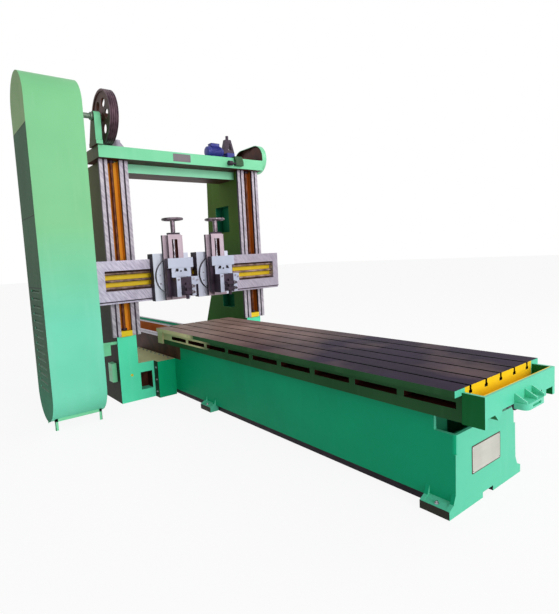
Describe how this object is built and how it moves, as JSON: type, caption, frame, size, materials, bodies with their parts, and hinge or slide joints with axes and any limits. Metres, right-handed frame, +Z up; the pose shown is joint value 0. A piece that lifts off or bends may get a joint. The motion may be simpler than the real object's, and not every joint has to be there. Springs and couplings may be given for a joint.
{
  "type": "double-column metal planing machine",
  "caption": "Fixed metal planer: long bed with a travelling slotted table under an arch of two columns that carries a lifting cross rail with tool heads, and a belt guard.",
  "frame": {"origin": "floor level under the middle of the table's width, in the plane of the front faces of the column slideways", "axes": "+X to the right seen from the table's near end, +Y along the bed towards the columns, +Z up"},
  "size_m": [3.547, 8.432, 3.956],
  "materials": {
    "green_paint": "gloss machine enamel, mint green",
    "yellow_paint": "gloss yellow enamel",
    "blue_paint": "gloss blue enamel",
    "head_paint": "pale grey-blue enamel",
    "ground_iron": "ground and scraped cast iron",
    "table_iron": "dark ground cast iron with mint edges",
    "dark_iron": "dark brown painted iron",
    "bright_steel": "turned bright steel",
    "black_steel": "oiled dark steel"
  },
  "bodies": {
    "root": {"bed": "green_paint", "bed_ways": "green_paint", "bed_shoulders": "green_paint", "bed_end_trays": "green_paint", "left_column": "green_paint", "right_column": "green_paint", "slideways": "ground_iron", "lift_screws": "bright_steel", "screw_blocks": "yellow_paint", "top_beam": "green_paint", "arch_tie": "green_paint", "guard_band": "green_paint", "guard_sides": "green_paint", "guard_stand": "green_paint", "guard_tie": "green_paint", "switch_box": "green_paint", "wheel_pedestal": "green_paint", "lift_motor": "blue_paint", "lift_gearbox": "blue_paint", "lift_control": "dark_iron", "lift_guard": "green_paint", "lift_shaft": "dark_iron"},
    "table_body": {"table": "table_iron", "table_troughs": "green_paint", "table_rack": "black_steel", "rack_bracket": "green_paint"},
    "rail_body": {"cross_rail": "ground_iron", "rail_rods": "bright_steel", "rail_rod_plate": "ground_iron"},
    "wheel_body": {"flywheel": "dark_iron", "drive_shaft": "bright_steel"},
    "left_saddle_body": {"left_saddle": "head_paint"},
    "left_swivel_body": {"left_swivel": "ground_iron"},
    "left_handwheel_body": {"left_handwheel": "bright_steel", "left_feed_screw": "bright_steel"},
    "left_slide_body": {"left_tool_slide": "head_paint", "left_clapper_box": "head_paint"},
    "left_clapper_body": {"left_clapper": "black_steel"},
    "right_saddle_body": {"right_saddle": "head_paint"},
    "right_swivel_body": {"right_swivel": "ground_iron"},
    "right_handwheel_body": {"right_handwheel": "bright_steel", "right_feed_screw": "bright_steel"},
    "right_slide_body": {"right_tool_slide": "head_paint", "right_clapper_box": "head_paint"},
    "right_clapper_body": {"right_clapper": "black_steel"}
  },
  "joints": [
    {"name": "table_travel", "type": "slide", "parent": "root", "child": "table_body", "axis": [0, 1, 0], "range_m": [0, 3.85]},
    {"name": "rail_lift", "type": "slide", "parent": "root", "child": "rail_body", "axis": [0, 0, 1], "range_m": [-0.25, 1]},
    {"name": "flywheel_turn", "type": "hinge", "parent": "root", "child": "wheel_body", "pos_m": [-1.13, -0.067, 3.628], "axis": [1, 0, 0], "continuous": true},
    {"name": "left_saddle_travel", "type": "slide", "parent": "rail_body", "child": "left_saddle_body", "axis": [-1, 0, 0], "range_m": [-0.04, 0.55]},
    {"name": "left_head_swivel", "type": "hinge", "parent": "left_saddle_body", "child": "left_swivel_body", "pos_m": [-0.472, -0.303, 1.64], "axis": [0, 1, 0], "range_deg": [-30, 30]},
    {"name": "left_handwheel_turn", "type": "hinge", "parent": "left_swivel_body", "child": "left_handwheel_body", "pos_m": [-0.472, -0.3743, 2.37], "axis": [0, 0, 1], "continuous": true},
    {"name": "left_tool_feed", "type": "slide", "parent": "left_swivel_body", "child": "left_slide_body", "axis": [0, 0, 1], "range_m": [-0.15, 0.25]},
    {"name": "left_clapper_lift", "type": "hinge", "parent": "left_slide_body", "child": "left_clapper_body", "pos_m": [-0.472, -0.5446, 1.591], "axis": [-1, 0, 0], "range_deg": [0, 25]},
    {"name": "right_saddle_travel", "type": "slide", "parent": "rail_body", "child": "right_saddle_body", "axis": [1, 0, 0], "range_m": [-0.04, 0.85]},
    {"name": "right_head_swivel", "type": "hinge", "parent": "right_saddle_body", "child": "right_swivel_body", "pos_m": [0.168, -0.303, 1.64], "axis": [0, 1, 0], "range_deg": [-30, 30]},
    {"name": "right_handwheel_turn", "type": "hinge", "parent": "right_swivel_body", "child": "right_handwheel_body", "pos_m": [0.168, -0.3743, 2.37], "axis": [0, 0, 1], "continuous": true},
    {"name": "right_tool_feed", "type": "slide", "parent": "right_swivel_body", "child": "right_slide_body", "axis": [0, 0, 1], "range_m": [-0.15, 0.25]},
    {"name": "right_clapper_lift", "type": "hinge", "parent": "right_slide_body", "child": "right_clapper_body", "pos_m": [0.168, -0.5446, 1.591], "axis": [-1, 0, 0], "range_deg": [0, 25]}
  ]
}
